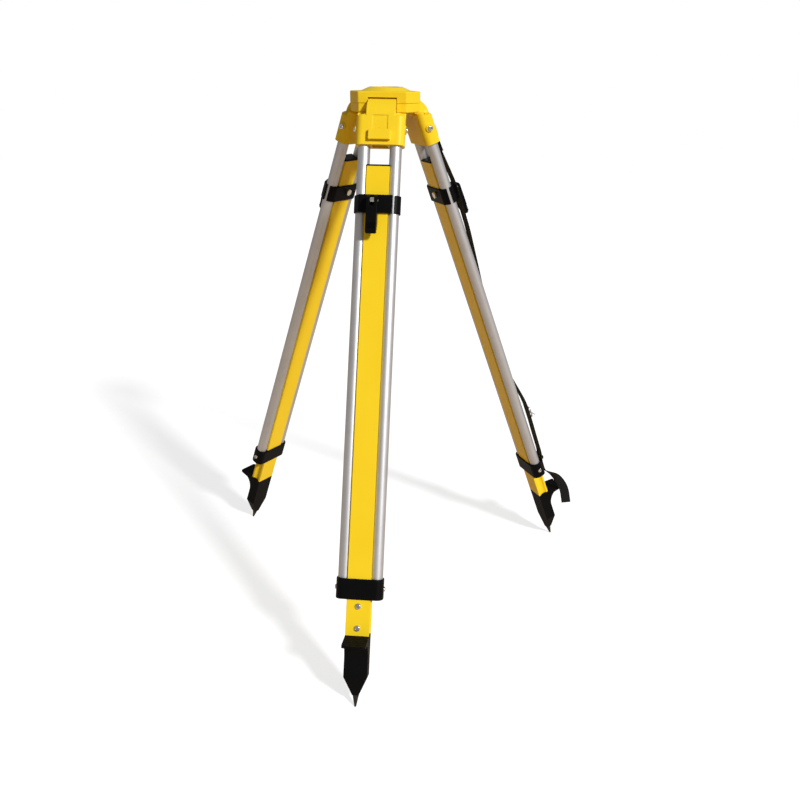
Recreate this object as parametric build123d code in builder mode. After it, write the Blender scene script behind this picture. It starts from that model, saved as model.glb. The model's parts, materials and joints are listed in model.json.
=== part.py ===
# Construction tripod: flat head with a 5/8 inch fixing screw, three twin-tube legs with
# sliding inner profiles, quick clamps, spiked feet, and a carrying strap on the right leg.
# Millimetres. The origin is the middle of the flat platen on top of the head, +Z is up.
# The front leg points along -Y, the other two follow at 120 degrees.
import os
from math import cos, radians, sin

from build123d import *

# Head
head_inradius = 48.0          # axis to a long side, where a leg hinges
head_corner_distance = 61.5   # axis to a short corner side
platen_radius = 30.0          # flat ring that an instrument stands on
platen_foot_radius = 45.0
platen_height = 6.5
upper_plate_height = 20.0
lower_plate_height = 16.0
lower_plate_inset = 1.0
head_corner_round = 4.0
head_edge_break = 1.5
head_seam_break = 0.8         # makes the line between the two plates
head_opening_radius = 24.0
head_screw_radius = 3.0
head_screw_head_radius = 5.5
head_screw_head_height = 3.0
head_screw_distance = 52.0
head_screw_bite = 12.0

# Leg hinges
hinge_radius = 38.0           # head axis to a hinge pin
hinge_pin_radius = 4.0
hinge_pin_length = 72.0
knuckle_radius = 9.0
tongue_width = 49.0
hinge_side_gap = 0.9
hinge_top_gap = 1.0
leg_spread = 20.4             # degrees between a leg and the vertical
leg_offset = 12.0             # hinge pin to the middle plane of the leg

# Tubes of the upper leg
tube_radius = 10.5
tube_wall = 1.6
tube_spacing = 55.0
tube_top = 36.0               # distances along a leg are measured down from the hinge pin
collar_top = 815.0
collar_height = 34.0
collar_floor = 4.0
collar_end_wall = 2.0
collar_face_wall = 2.6
collar_corner = 12.0
collar_edge_round = 1.2
collar_screw_head_radius = 4.0
collar_screw_head_height = 2.5
collar_screw_dome = 1.5
collar_screw_socket_radius = 1.8
collar_screw_socket_depth = 1.5
collar_screw_radius = 2.0

# Hinge bracket
bracket_shoulder = 27.5
bracket_back_top = 20.0       # the inner half of the shoulders stands higher
bracket_back_depth = 12.0
bracket_bottom = 80.5
bracket_socket_wall = 4.5
bracket_corner = 12.0
bracket_shoulder_bevel = 2.5
bracket_nose_reach = 10.5     # top of the tongue's front, out from the pin
bracket_nose_rise = 4.0
bracket_heel_top = 18.0
bracket_heel_round = 6.0
bracket_tongue_root = 5.0
bracket_flare = 6.0
bracket_flare_depth = 7.0
bracket_pocket_width = 27.0
bracket_pocket_depth = 18.0
bracket_pocket_roof = 15.0
bracket_panel_width = 27.0
bracket_panel_depth = 1.0
bracket_panel_top = 29.0
bracket_panel_bottom = 60.0
strap_bar_width = 37.0
strap_bar_height = 18.0
strap_bar_bottom = 73.0
strap_bar_depth = 3.0
strap_bar_round = 1.2
strap_bar_post = 3.5
strap_slot_depth = 4.0
bracket_bolt_level = 51.0
bracket_boss_radius = 7.5
bracket_boss_height = 1.5
bracket_bolt_radius = 3.0
bracket_bolt_head_radius = 5.0
bracket_bolt_head_height = 3.5
bracket_bolt_dome = 2.2
bracket_bolt_socket_radius = 2.4
bracket_bolt_socket_depth = 2.0

# Inner leg profile
slide_clearance = 0.4
profile_width = 40.0
profile_depth = 23.0
profile_wall = 2.2
profile_bore_corner = 2.0
inner_top = 117.0
inner_show = 59.5             # how far the profile stands out below the collar
end_cap_height = 3.0
end_cap_plug = 8.0
end_cap_round = 1.0
plug_clearance = 0.15

# Quick clamp
clamp_top = 167.5
clamp_height = 31.0
clamp_outer_wall = 6.5
clamp_inner_wall = 3.0
clamp_end_wall = 2.6          # around the tubes
clamp_corner = 5.0
clamp_edge_round = 1.5
clamp_seam = 6.5              # gap between the plates beside the other tube
clamp_seam_shift = -1.5
clamp_hook_gap = 3.9          # gap on the outer face, where the inner plate's hook ends
clamp_hook_reach = 4.1        # hook's end, sideways from the hooked tube's middle
clamp_bolt_level = 180.0
clamp_bolt_radius = 3.0
clamp_bolt_head_radius = 6.5
clamp_bolt_head_height = 5.0
clamp_bolt_shift = 5.0        # sideways, the middle of the outer plate
eye_radius = 5.0
eye_width = 7.0
lever_pin_radius = 2.0
lever_pin_stand = 1.0
lever_pin_break = 0.4
lever_cam_radius = 8.5
lever_cam_offset = 0.8        # cam's middle from the pin, towards the plate while closed
lever_cam_gap = 0.1
lever_width = 18.5
lever_length = 57.0
lever_back_rise = 3.0         # handle's back, out from the cam's face
lever_thickness = 7.0         # at the tip
lever_tip_lift = 8.0
lever_tip_bevel = 3.0
lever_tip_length = 19.0
lever_corner = 2.5
lever_wall = 2.5
lever_groove_radius = 1.0
lever_grooves = 4
lever_fork_gap = 0.4
lever_fork_top_gap = 1.0
pin_clearance = 0.05

# Foot
foot_straight = 68.5
foot_taper = 32.5
foot_flank = 10.5             # outer face between the tread's curve and the taper
foot_spigot = 62.0
tread_reach = 47.5
tread_slope = 7.0             # the tip lies lower than the root
tread_thickness = 3.5
tread_corner = 4.0
tread_root = 26.0             # where the curve into the flank starts
tread_root_level = 11.0
tread_curve = 26.0
tread_groove_radius = 1.0
tread_groove_pitch = 6.0
tread_grooves = 5
foot_tip_shift = -6.0         # the point sits towards the inner face
foot_nose_width = 11.0
spike_length = 20.0
spike_shank_radius = 3.0
spike_shank_length = 24.0
spike_tip_radius = 1.6
foot_screw_levels = (860.0, 896.0)
foot_screw_head_radius = 5.0
foot_screw_head_height = 3.0
foot_screw_dome = 2.0
foot_screw_socket_radius = 2.2
foot_screw_socket_depth = 1.8
foot_screw_radius = 2.5
foot_screw_bite = 8.0

# Fixing screw on its swinging arm
fixing_screw_radius = 7.9375  # 5/8 inch thread, major diameter
screw_shank_radius = 7.0
fixing_screw_drop = 6.0       # tip below the platen when it hangs
fixing_screw_lift = 18.0
screw_lead = 1.5
screw_fit = 0.06
arm_gap = 0.5
arm_thickness = 5.0
arm_edge_break = 1.0
arm_pivot_distance = 38.0
arm_pivot_radius = 4.0
arm_pivot_bite = 10.0
arm_pivot_head_radius = 7.0
arm_pivot_head_height = 3.0
arm_pivot_end_radius = 10.0
arm_rail = 6.0
slider_wall = 3.5
slider_travel = 6.5
slider_gap = 0.3
slider_flange_overlap = 1.2
slider_top_height = 4.0
washer_height = 2.0
washer_radius = 9.0
washer_gap = 0.1
knob_radius = 19.0
knob_height = 28.0
knob_flutes = 8
knob_flute_radius = 5.0
knob_edge_break = 1.5
knob_top_gap = 1.0
knob_spigot_radius = 5.0

# Carrying strap on the right leg
strap_width = 20.0
strap_thickness = 2.0
strap_clearance = 0.4
strap_slot_shift = 4.0        # sideways, where the strap leaves the bracket's bar
buckle_wire = 2.0
buckle_inner_width = 21.0
buckle_height = 24.0
buckle_lever_gap = 0.8
keeper_wall = 1.2
keeper_length = 7.0
prong_length = 20.0
prong_radius = 1.0
prong_lift = 35.0

# Levels worked out from the sizes above
seam_level = -(platen_height + upper_plate_height)
head_bottom = seam_level - lower_plate_height
tube_bottom = collar_top + collar_height - collar_floor
inner_bottom = collar_top + collar_height + inner_show
tube_places = [(-tube_spacing / 2, 0), (tube_spacing / 2, 0)]
bore_width = tube_spacing - 2 * (tube_radius + slide_clearance + profile_wall)
bore_depth = profile_depth - 2 * profile_wall
collar_width = tube_spacing + 2 * (tube_radius + collar_end_wall)
collar_depth = profile_depth + 2 * (slide_clearance + collar_face_wall)
clamp_bottom = clamp_top + clamp_height
clamp_face = profile_depth / 2 + clamp_outer_wall
clamp_back = profile_depth / 2 + clamp_inner_wall
lever_pin_y = clamp_face + lever_cam_radius + lever_cam_offset + lever_cam_gap
slot_inner_radius = hinge_radius - knuckle_radius - hinge_top_gap
slot_width = tongue_width + 2 * hinge_side_gap
slot_height = knuckle_radius + hinge_top_gap

leg_azimuths = {"front": -90.0, "right": 30.0, "left": 150.0}
# End of each leg's clamp where its inner plate hooks round the tube
hook_sides = {"front": -1, "right": -1, "left": 1}
ALONG_X = (0, 90, 0)
ALONG_Y = (90, 0, 0)

os.makedirs("parts", exist_ok=True)


def leg_location(azimuth):
    """Where the leg frame stands: x along the hinge pin, y outwards, z up the leg."""
    turn = Location((0, 0, seam_level), (0, 0, azimuth - 90))
    hinge = Location((0, hinge_radius, 0), (leg_spread, 0, 0))
    return turn * hinge * Location((0, leg_offset, 0))


def save(piece, name):
    piece.label = name
    export_step(piece, f"parts/{name}.step")


def save_on_legs(piece, name):
    """Writes one copy of a leg piece for each of the three legs."""
    for leg, azimuth in leg_azimuths.items():
        save(piece.moved(leg_location(azimuth)), f"{leg}_{name}")


def head_outline(inset):
    """A triangle with its corners cut off, drawn into the sketch that is open."""
    RegularPolygon(2 * (head_inradius - inset), 3, rotation=90)
    RegularPolygon(2 * (head_corner_distance - inset), 3, rotation=-90, mode=Mode.INTERSECT)


def profile_outline(gap):
    """The sliding profile: a bar with a groove for a tube along each side."""
    Rectangle(profile_width + 2 * gap, profile_depth + 2 * gap)
    with Locations(*tube_places):
        Circle(tube_radius + slide_clearance - gap, mode=Mode.SUBTRACT)


def hex_socket(place, outward, radius, depth):
    """Takes a hexagon socket out of a screw head in the part that is open."""
    with BuildSketch(Plane(origin=place, z_dir=outward)) as socket:
        RegularPolygon(radius, 6)
    extrude(socket.sketch, amount=-depth, mode=Mode.SUBTRACT)


# Head plate: the platen, the opening for the fixing screw and three hinge slots
with BuildPart() as head_plate:
    with BuildSketch(Plane.XY.offset(seam_level)):
        head_outline(0)
    extrude(amount=upper_plate_height)
    fillet(head_plate.edges().filter_by(Axis.Z), head_corner_round)
    chamfer(head_plate.faces().sort_by(Axis.Z)[-1].edges(), head_edge_break)
    chamfer(head_plate.faces().sort_by(Axis.Z)[0].edges(), head_seam_break)
    with Locations((0, 0, -platen_height)):
        Cone(platen_foot_radius, platen_radius, platen_height,
             align=(Align.CENTER, Align.CENTER, Align.MIN))
    with Locations((0, 0, seam_level)):
        Cylinder(head_opening_radius, 4 * upper_plate_height, mode=Mode.SUBTRACT)
        with PolarLocations(slot_inner_radius, 3, start_angle=leg_azimuths["front"]):
            Box(head_inradius, slot_width, 2 * slot_height,
                align=(Align.MIN, Align.CENTER, Align.CENTER), mode=Mode.SUBTRACT)
        with PolarLocations(hinge_radius, 3, start_angle=leg_azimuths["front"]):
            Cylinder(hinge_pin_radius, hinge_pin_length, rotation=ALONG_Y, mode=Mode.SUBTRACT)
        with PolarLocations(head_screw_distance, 3, start_angle=leg_azimuths["front"] + 60):
            Cylinder(head_screw_radius, 2 * head_screw_bite, mode=Mode.SUBTRACT)
save(head_plate.part, "head_plate")

# Lower plate: closes the hinge seats from below and carries the screw arm
with BuildPart() as lower_plate:
    with BuildSketch(Plane.XY.offset(head_bottom)):
        head_outline(lower_plate_inset)
    extrude(amount=lower_plate_height)
    fillet(lower_plate.edges().filter_by(Axis.Z), head_corner_round)
    chamfer(lower_plate.faces().sort_by(Axis.Z)[0].edges(), head_edge_break)
    chamfer(lower_plate.faces().sort_by(Axis.Z)[-1].edges(), head_seam_break)
    with Locations((0, 0, seam_level)):
        Cylinder(head_opening_radius, 4 * lower_plate_height, mode=Mode.SUBTRACT)
        with PolarLocations(slot_inner_radius, 3, start_angle=leg_azimuths["front"]):
            Box(head_inradius, slot_width, 4 * lower_plate_height,
                align=(Align.MIN, Align.CENTER, Align.CENTER), mode=Mode.SUBTRACT)
        with PolarLocations(hinge_radius, 3, start_angle=leg_azimuths["front"]):
            Cylinder(hinge_pin_radius, hinge_pin_length, rotation=ALONG_Y, mode=Mode.SUBTRACT)
    with Locations((0, 0, head_bottom)):
        with PolarLocations(head_screw_distance, 3, start_angle=leg_azimuths["front"] + 60):
            Cylinder(head_screw_radius, 4 * lower_plate_height, mode=Mode.SUBTRACT)
            Cylinder(head_screw_head_radius, 2 * head_screw_head_height, mode=Mode.SUBTRACT)
        with Locations((0, arm_pivot_distance, 0)):
            Cylinder(arm_pivot_radius, 2 * arm_pivot_bite, mode=Mode.SUBTRACT)
save(lower_plate.part, "lower_plate")

with BuildPart() as hinge_pins:
    with Locations((0, 0, seam_level)):
        with PolarLocations(hinge_radius, 3, start_angle=leg_azimuths["front"]):
            Cylinder(hinge_pin_radius, hinge_pin_length, rotation=ALONG_Y)
save(hinge_pins.part, "hinge_pins")

with BuildPart() as head_screws:
    with Locations((0, 0, head_bottom)):
        with PolarLocations(head_screw_distance, 3, start_angle=leg_azimuths["front"] + 60):
            Cylinder(head_screw_head_radius, head_screw_head_height,
                     align=(Align.CENTER, Align.CENTER, Align.MIN))
            Cylinder(head_screw_radius, lower_plate_height + head_screw_bite,
                     align=(Align.CENTER, Align.CENTER, Align.MIN))
    with Locations((0, 0, head_bottom)):
        with PolarLocations(head_screw_distance, 3, start_angle=leg_azimuths["front"] + 60):
            with BuildSketch():
                RegularPolygon(head_screw_head_radius / 2, 6)
            extrude(amount=head_screw_head_height / 2, mode=Mode.SUBTRACT)
save(head_screws.part, "head_screws")

# Screw arm: swings under the head on its pivot, the slider runs in its slot
arm_top = head_bottom - arm_gap
arm_bottom = arm_top - arm_thickness
slider_half = screw_shank_radius + screw_fit + slider_wall
arm_end_radius = slider_half + slider_gap + arm_rail
slot_half_length = slider_half + slider_travel + slider_gap

with BuildPart() as screw_arm:
    with BuildSketch(Plane.XY.offset(arm_bottom)):
        with Locations((0, arm_pivot_distance)):
            Circle(arm_pivot_end_radius)
        with Locations((0, slider_travel), (0, -slider_travel)):
            Circle(arm_end_radius)
        make_hull()
        Rectangle(2 * (slider_half + slider_gap), 2 * slot_half_length, mode=Mode.SUBTRACT)
        with Locations((0, arm_pivot_distance)):
            Circle(arm_pivot_radius + pin_clearance, mode=Mode.SUBTRACT)
    extrude(amount=arm_thickness)
    chamfer(screw_arm.faces().sort_by(Axis.Z)[0].outer_wire().edges(), arm_edge_break)
save(screw_arm.part, "screw_arm")

with BuildPart() as arm_pivot:
    with Locations((0, arm_pivot_distance, head_bottom + arm_pivot_bite)):
        Cylinder(arm_pivot_radius, arm_pivot_bite + arm_gap + arm_thickness + arm_gap,
                 align=(Align.CENTER, Align.CENTER, Align.MAX))
    with Locations((0, arm_pivot_distance, arm_bottom - arm_gap)):
        Cylinder(arm_pivot_head_radius, arm_pivot_head_height,
                 align=(Align.CENTER, Align.CENTER, Align.MAX))
    fillet(arm_pivot.faces().sort_by(Axis.Z)[0].edges(), arm_edge_break)
save(arm_pivot.part, "arm_pivot")

# Slider: a flanged square bush that hangs in the slot and guides the screw
slider_top = arm_top + slider_top_height
with BuildPart() as screw_slider:
    with BuildSketch(Plane.XY.offset(arm_bottom)):
        Rectangle(2 * slider_half, 2 * slider_half)
    extrude(amount=arm_thickness + slider_gap)
    with BuildSketch(Plane.XY.offset(arm_top + slider_gap)):
        Circle(slider_half + slider_gap + slider_flange_overlap)
    extrude(amount=slider_top_height - slider_gap)
    with Locations((0, 0, arm_bottom)):
        Cylinder(screw_shank_radius + screw_fit, 8 * arm_thickness, mode=Mode.SUBTRACT)
save(screw_slider.part, "screw_slider")

washer_level = slider_top + washer_gap
with BuildPart() as retaining_washer:
    with BuildSketch(Plane.XY.offset(washer_level)):
        Circle(washer_radius)
        Circle(screw_shank_radius + screw_fit, mode=Mode.SUBTRACT)
    extrude(amount=washer_height)
save(retaining_washer.part, "retaining_washer")

# Fixing screw with its knob, hanging at its lower stop
knob_top = arm_bottom - fixing_screw_lift - knob_top_gap
knob_bottom = knob_top - knob_height
screw_tip = -fixing_screw_drop
with BuildPart() as fixing_screw:
    with BuildSketch(Plane.XZ):
        with BuildLine():
            Polyline(
                (0, screw_tip),
                (fixing_screw_radius - screw_lead, screw_tip),
                (fixing_screw_radius, screw_tip - screw_lead),
                (fixing_screw_radius, washer_level + washer_height + washer_gap),
                (screw_shank_radius, washer_level + washer_height + washer_gap),
                (screw_shank_radius, knob_top),
                (knob_spigot_radius, knob_top),
                (knob_spigot_radius, knob_bottom + knob_top_gap),
                (0, knob_bottom + knob_top_gap),
                close=True,
            )
        make_face()
    revolve(axis=Axis.Z)
save(fixing_screw.part, "fixing_screw")

with BuildPart() as screw_knob:
    with BuildSketch(Plane.XY.offset(knob_bottom)):
        Circle(knob_radius)
        with PolarLocations(knob_radius + knob_flute_radius / 2, knob_flutes):
            Circle(knob_flute_radius, mode=Mode.SUBTRACT)
    extrude(amount=knob_height)
    chamfer(screw_knob.faces().sort_by(Axis.Z)[0].edges(), knob_edge_break)
    chamfer(screw_knob.faces().sort_by(Axis.Z)[-1].edges(), knob_edge_break)
    with Locations((0, 0, knob_bottom + knob_top_gap)):
        Cylinder(knob_spigot_radius, 2 * knob_height, align=(Align.CENTER, Align.CENTER, Align.MIN),
                 mode=Mode.SUBTRACT)
save(screw_knob.part, "screw_knob")

# Hinge bracket: knuckle, tongue, shoulders, two tube sockets and the bar for a strap
bracket_half_depth = tube_radius + bracket_socket_wall
bracket_half_width = tube_spacing / 2 + bracket_half_depth
bar_face = bracket_half_depth + strap_slot_depth + strap_bar_depth
with BuildPart() as hinge_bracket:
    # Body around the tubes, with bevelled shoulders
    with BuildSketch(Plane.XY.offset(-bracket_bottom)):
        RectangleRounded(2 * bracket_half_width, 2 * bracket_half_depth, bracket_corner)
    extrude(amount=bracket_bottom - bracket_shoulder)
    chamfer(hinge_bracket.faces().sort_by(Axis.Z)[-1].edges(), bracket_shoulder_bevel)
    back_base = bracket_shoulder + bracket_shoulder_bevel
    with BuildSketch(Plane.XY.offset(-back_base)):
        RectangleRounded(2 * bracket_half_width, 2 * bracket_half_depth, bracket_corner)
        with Locations((0, -bracket_half_depth)):
            Rectangle(2 * bracket_half_width, bracket_back_depth, align=(Align.CENTER, Align.MIN),
                      mode=Mode.INTERSECT)
    extrude(amount=back_base - bracket_back_top)
    chamfer(hinge_bracket.faces().sort_by(Axis.Z)[-1].edges(), bracket_shoulder_bevel / 2)
    # Side view of the tongue, whose front sweeps from the body up to the pin
    with BuildSketch(Plane.YZ):
        with BuildLine():
            front = TangentArc(
                (bracket_half_depth, -bracket_shoulder),
                (-leg_offset + bracket_nose_reach, bracket_nose_rise),
                tangent=(0, 1),
            )
            back = Polyline(
                front @ 1,
                (-leg_offset, knuckle_radius),
                (-leg_offset - knuckle_radius, 0),
                (-leg_offset - knuckle_radius, -bracket_heel_top),
            )
            heel = TangentArc(
                back @ 1,
                (-leg_offset - knuckle_radius + bracket_heel_round, -bracket_heel_top - bracket_heel_round),
                tangent=(0, -1),
            )
            Polyline(
                heel @ 1,
                (-bracket_half_depth, -bracket_shoulder - bracket_tongue_root),
                (bracket_half_depth, -bracket_shoulder - bracket_tongue_root),
                front @ 0,
            )
        make_face()
        with Locations((-leg_offset, 0)):
            Circle(knuckle_radius)
    extrude(amount=tongue_width / 2, both=True)
    # The tongue's sides flare into the shoulders
    for side in (-1, 1):
        with BuildSketch(Plane.XZ.offset(bracket_shoulder_bevel - bracket_half_depth)):
            with BuildLine():
                corner = (side * tongue_width / 2, -bracket_shoulder)
                flare_top = (corner[0], corner[1] + bracket_flare)
                flare_end = (corner[0] + side * bracket_flare, corner[1])
                Line(flare_end, corner)
                Line(corner, flare_top)
                RadiusArc(flare_top, flare_end, -side * bracket_flare)
            make_face()
        extrude(amount=bracket_flare_depth)
    for side in (-1, 1):
        with Locations(Location((side * bracket_half_width, 0, -bracket_bolt_level), ALONG_X)):
            Cylinder(bracket_boss_radius, 2 * bracket_boss_height)
    # Bar across the outer face, with a slot behind it for webbing
    with BuildSketch(Plane.XZ.offset(-bar_face)):
        with Locations((0, -strap_bar_bottom)):
            Rectangle(strap_bar_width, strap_bar_height, align=(Align.CENTER, Align.MIN))
    extrude(amount=bar_face)
    fillet(hinge_bracket.faces().sort_by(Axis.Y)[-1].edges().filter_by(Axis.X), strap_bar_round)
    with Locations((0, bracket_half_depth, -strap_bar_bottom)):
        Box(strap_bar_width - 2 * strap_bar_post, strap_slot_depth, 3 * strap_bar_height,
            align=(Align.CENTER, Align.MIN, Align.CENTER), mode=Mode.SUBTRACT)
    # Shallow panel in the outer face, the hollow under the web, the sockets and the pin hole
    with Locations((0, bracket_half_depth, -(bracket_panel_top + bracket_panel_bottom) / 2)):
        Box(bracket_panel_width, 2 * bracket_panel_depth, bracket_panel_bottom - bracket_panel_top,
            mode=Mode.SUBTRACT)
    with Locations((0, 0, -bracket_bottom)):
        Box(bracket_pocket_width, bracket_pocket_depth,
            2 * (bracket_bottom - bracket_shoulder - bracket_pocket_roof), mode=Mode.SUBTRACT)
    with BuildSketch(Plane.XY.offset(-bracket_bottom)):
        with Locations(*tube_places):
            Circle(tube_radius)
    extrude(amount=bracket_bottom - tube_top, mode=Mode.SUBTRACT)
    with Locations(Location((0, -leg_offset, 0), ALONG_X)):
        Cylinder(hinge_pin_radius + pin_clearance, 2 * tongue_width, mode=Mode.SUBTRACT)
    with Locations(Location((0, 0, -bracket_bolt_level), ALONG_X)):
        Cylinder(bracket_bolt_radius, 2 * (bracket_half_width + bracket_boss_height),
                 mode=Mode.SUBTRACT)
save_on_legs(hinge_bracket.part, "hinge_bracket")

# Domed bolts that pinch the tubes in the bracket, one on each side
with BuildPart() as bracket_bolts:
    seat = bracket_half_width + bracket_boss_height
    for side in (-1, 1):
        out = Plane(origin=(side * seat, 0, -bracket_bolt_level), z_dir=(side, 0, 0))
        with BuildSketch(out):
            Circle(bracket_bolt_head_radius)
        extrude(amount=bracket_bolt_head_height)
        with BuildSketch(out):
            Circle(bracket_bolt_radius)
        extrude(amount=-(seat - tube_spacing / 2 - tube_radius))
    fillet(bracket_bolts.faces().filter_by(Axis.X).sort_by(Axis.X)[-1].edges(), bracket_bolt_dome)
    fillet(bracket_bolts.faces().filter_by(Axis.X).sort_by(Axis.X)[0].edges(), bracket_bolt_dome)
    for side in (-1, 1):
        hex_socket((side * (seat + bracket_bolt_head_height), 0, -bracket_bolt_level), (side, 0, 0),
                   bracket_bolt_socket_radius, bracket_bolt_socket_depth)
save_on_legs(bracket_bolts.part, "bracket_bolts")

# The two tubes of each upper leg
for tube_name, tube_place in zip(("tube_a", "tube_b"), tube_places):
    with BuildPart() as tube:
        with BuildSketch(Plane.XY.offset(-tube_bottom)):
            with Locations(tube_place):
                Circle(tube_radius)
                Circle(tube_radius - tube_wall, mode=Mode.SUBTRACT)
        extrude(amount=tube_bottom - tube_top)
    save_on_legs(tube.part, tube_name)

# Lower collar: holds the tube ends and guides the sliding profile
collar_bottom = collar_top + collar_height
with BuildPart() as lower_collar:
    with BuildSketch(Plane.XY.offset(-collar_bottom)):
        RectangleRounded(collar_width, collar_depth, collar_corner)
    extrude(amount=collar_height)
    fillet(lower_collar.faces().filter_by(Axis.Z).edges(), collar_edge_round)
    with BuildSketch(Plane.XY.offset(-collar_bottom)):
        profile_outline(slide_clearance)
    extrude(amount=collar_height, mode=Mode.SUBTRACT)
    with BuildSketch(Plane.XY.offset(-tube_bottom)):
        with Locations(*tube_places):
            Circle(tube_radius)
    extrude(amount=collar_height, mode=Mode.SUBTRACT)
    with Locations(Location((0, 0, -collar_top - collar_height / 2), ALONG_X)):
        Cylinder(collar_screw_radius, 2 * collar_width, mode=Mode.SUBTRACT)
save_on_legs(lower_collar.part, "lower_collar")

with BuildPart() as collar_screws:
    for side in (-1, 1):
        out = Plane(origin=(side * collar_width / 2, 0, -collar_top - collar_height / 2),
                    z_dir=(side, 0, 0))
        with BuildSketch(out):
            Circle(collar_screw_head_radius)
        extrude(amount=collar_screw_head_height)
        with BuildSketch(out):
            Circle(collar_screw_radius)
        extrude(amount=-(collar_width / 2 - tube_spacing / 2 - tube_radius))
    fillet(collar_screws.faces().filter_by(Axis.X).sort_by(Axis.X)[-1].edges(), collar_screw_dome)
    fillet(collar_screws.faces().filter_by(Axis.X).sort_by(Axis.X)[0].edges(), collar_screw_dome)
    for side in (-1, 1):
        hex_socket((side * (collar_width / 2 + collar_screw_head_height), 0, -collar_top - collar_height / 2),
                   (side, 0, 0), collar_screw_socket_radius, collar_screw_socket_depth)
save_on_legs(collar_screws.part, "collar_screws")

# Inner leg: the hollow profile that slides between the tubes
with BuildPart() as inner_leg:
    with BuildSketch(Plane.XY.offset(-inner_bottom)):
        profile_outline(0)
        RectangleRounded(bore_width, bore_depth, profile_bore_corner, mode=Mode.SUBTRACT)
    extrude(amount=inner_bottom - inner_top)
    with Locations(Location((clamp_bolt_shift, 0, -clamp_bolt_level), ALONG_Y)):
        Cylinder(clamp_bolt_radius, 2 * profile_depth, mode=Mode.SUBTRACT)
    for level in foot_screw_levels:
        with Locations(Location((0, profile_depth / 2, -level), ALONG_Y)):
            Cylinder(foot_screw_radius, profile_depth, mode=Mode.SUBTRACT)
save_on_legs(inner_leg.part, "inner_leg")

with BuildPart() as end_cap:
    with BuildSketch(Plane.XY.offset(-inner_top)):
        profile_outline(0)
    extrude(amount=end_cap_height)
    fillet(end_cap.faces().sort_by(Axis.Z)[-1].edges().filter_by(Axis.X), end_cap_round)
    with BuildSketch(Plane.XY.offset(-inner_top)):
        RectangleRounded(bore_width - 2 * plug_clearance, bore_depth - 2 * plug_clearance,
                         profile_bore_corner)
    extrude(amount=-end_cap_plug)
save_on_legs(end_cap.part, "end_cap")


def clamp_outline(face):
    """Section of a whole clamp: round about the tubes, with a flat face on one side."""
    with Locations(*tube_places):
        Circle(tube_radius + clamp_end_wall)
    corner_middle = face - clamp_corner if face > 0 else face + clamp_corner
    with Locations((-tube_spacing / 2, corner_middle), (tube_spacing / 2, corner_middle)):
        Circle(clamp_corner)
    make_hull()


def clamp_bore():
    """Takes the room for the profile and the tubes out of the sketch that is open."""
    Rectangle(profile_width + slide_clearance, profile_depth, mode=Mode.SUBTRACT)
    with Locations(*tube_places):
        Circle(tube_radius + slide_clearance, mode=Mode.SUBTRACT)


# Clamp plates: the outer one grips both tubes from the front, the inner one from the back
# and also hooks round one of the tubes, up to the end of the outer plate
clamp_section = Plane.XY.offset(-clamp_bottom)
clamp_reach = 2 * (tube_spacing + tube_radius)
hook_distance = tube_spacing / 2 + clamp_hook_reach
for leg, hook_side in hook_sides.items():
    inwards, outwards = (Align.MIN, Align.MAX) if hook_side < 0 else (Align.MAX, Align.MIN)
    with BuildPart() as clamp_outer_plate:
        with BuildSketch(clamp_section):
            clamp_outline(clamp_face)
            with Locations((hook_side * (hook_distance - clamp_hook_gap), clamp_seam_shift + clamp_seam / 2)):
                Rectangle(clamp_reach, clamp_reach, align=(inwards, Align.MIN), mode=Mode.INTERSECT)
            clamp_bore()
        extrude(amount=clamp_height)
        front = clamp_outer_plate.faces().filter_by(Axis.Y).sort_by(Axis.Y)[-1]
        fillet(front.edges().filter_by(Axis.X), clamp_edge_round)
        with Locations(Location((clamp_bolt_shift, 0, -clamp_bolt_level), ALONG_Y)):
            Cylinder(clamp_bolt_radius, 4 * clamp_face, mode=Mode.SUBTRACT)
    save(clamp_outer_plate.part.moved(leg_location(leg_azimuths[leg])), f"{leg}_clamp_outer_plate")

    with BuildPart() as clamp_inner_plate:
        with BuildSketch(clamp_section):
            clamp_outline(-clamp_back)
            with Locations((0, clamp_seam_shift - clamp_seam / 2)):
                Rectangle(clamp_reach, clamp_reach, align=(Align.CENTER, Align.MAX), mode=Mode.INTERSECT)
            clamp_bore()
        extrude(amount=clamp_height)
        back = clamp_inner_plate.faces().filter_by(Axis.Y).sort_by(Axis.Y)[0]
        fillet(back.edges().filter_by(Axis.X), clamp_edge_round)
        with BuildSketch(clamp_section):
            with Locations((hook_side * tube_spacing / 2, 0)):
                Circle(tube_radius + clamp_end_wall)
            with Locations((hook_side * hook_distance, 0)):
                Rectangle(clamp_reach, clamp_reach, align=(outwards, Align.CENTER), mode=Mode.INTERSECT)
            clamp_bore()
        extrude(amount=clamp_height)
        with Locations(Location((clamp_bolt_shift, 0, -clamp_bolt_level), ALONG_Y)):
            Cylinder(clamp_bolt_radius, 4 * clamp_back, mode=Mode.SUBTRACT)
    save(clamp_inner_plate.part.moved(leg_location(leg_azimuths[leg])), f"{leg}_clamp_inner_plate")

# Clamp bolt: a head inside, an eye for the lever's pin outside
with BuildPart() as clamp_bolt:
    with BuildSketch(Plane(origin=(clamp_bolt_shift, -clamp_back, -clamp_bolt_level),
                           z_dir=(0, -1, 0))):
        RegularPolygon(clamp_bolt_head_radius, 6)
    extrude(amount=clamp_bolt_head_height)
    with BuildSketch(Plane(origin=(clamp_bolt_shift, -clamp_back, -clamp_bolt_level),
                           z_dir=(0, 1, 0))):
        Circle(clamp_bolt_radius)
    extrude(amount=clamp_back + lever_pin_y)
    with Locations(Location((clamp_bolt_shift, lever_pin_y, -clamp_bolt_level), ALONG_X)):
        Cylinder(eye_radius, eye_width)
        Cylinder(lever_pin_radius, 2 * eye_width, mode=Mode.SUBTRACT)
save_on_legs(clamp_bolt.part, "clamp_bolt")

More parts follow.
